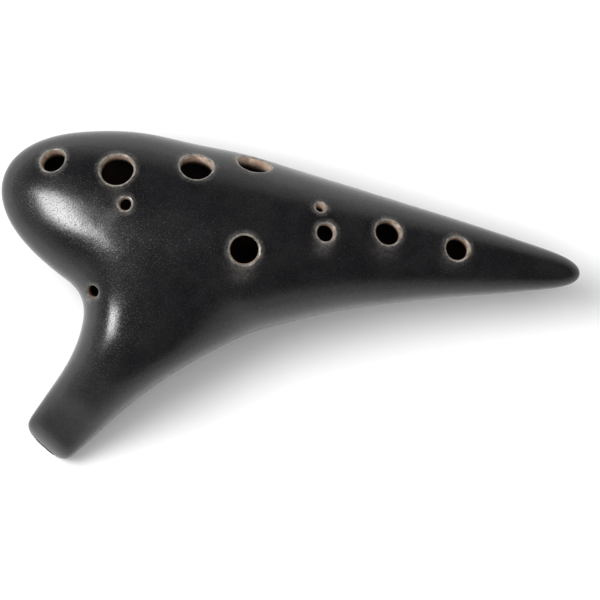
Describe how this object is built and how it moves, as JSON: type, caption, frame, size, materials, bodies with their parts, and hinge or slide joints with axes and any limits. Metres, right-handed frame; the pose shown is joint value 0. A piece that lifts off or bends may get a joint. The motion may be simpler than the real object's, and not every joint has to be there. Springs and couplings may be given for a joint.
{
  "type": "ocarina",
  "caption": "Transverse ocarina of glazed clay: a hollow teardrop body with a tapering tail, finger holes over the front, thumb holes behind, and a side stem that carries the windway.",
  "frame": {"origin": "centre of the plan box, on the surface that the ocarina lies on with its back down", "axes": "+X from the head end to the tail, +Y from the mouth end to the upper edge of the head, +Z out of the front face with the finger holes"},
  "size_m": [0.1908, 0.1091, 0.0505],
  "materials": {
    "glazed_clay": "charcoal black satin glaze over fired clay",
    "bare_clay": "fired unglazed clay slip",
    "windway_clay": "fired unglazed clay, smooth",
    "labium_clay": "thinly glazed clay"
  },
  "bodies": {
    "root": {"front_shell": "glazed_clay", "back_shell": "glazed_clay", "seam_slip": "bare_clay", "windway_block": "windway_clay", "windway_roof": "windway_clay", "labium": "labium_clay"}
  },
  "joints": []
}
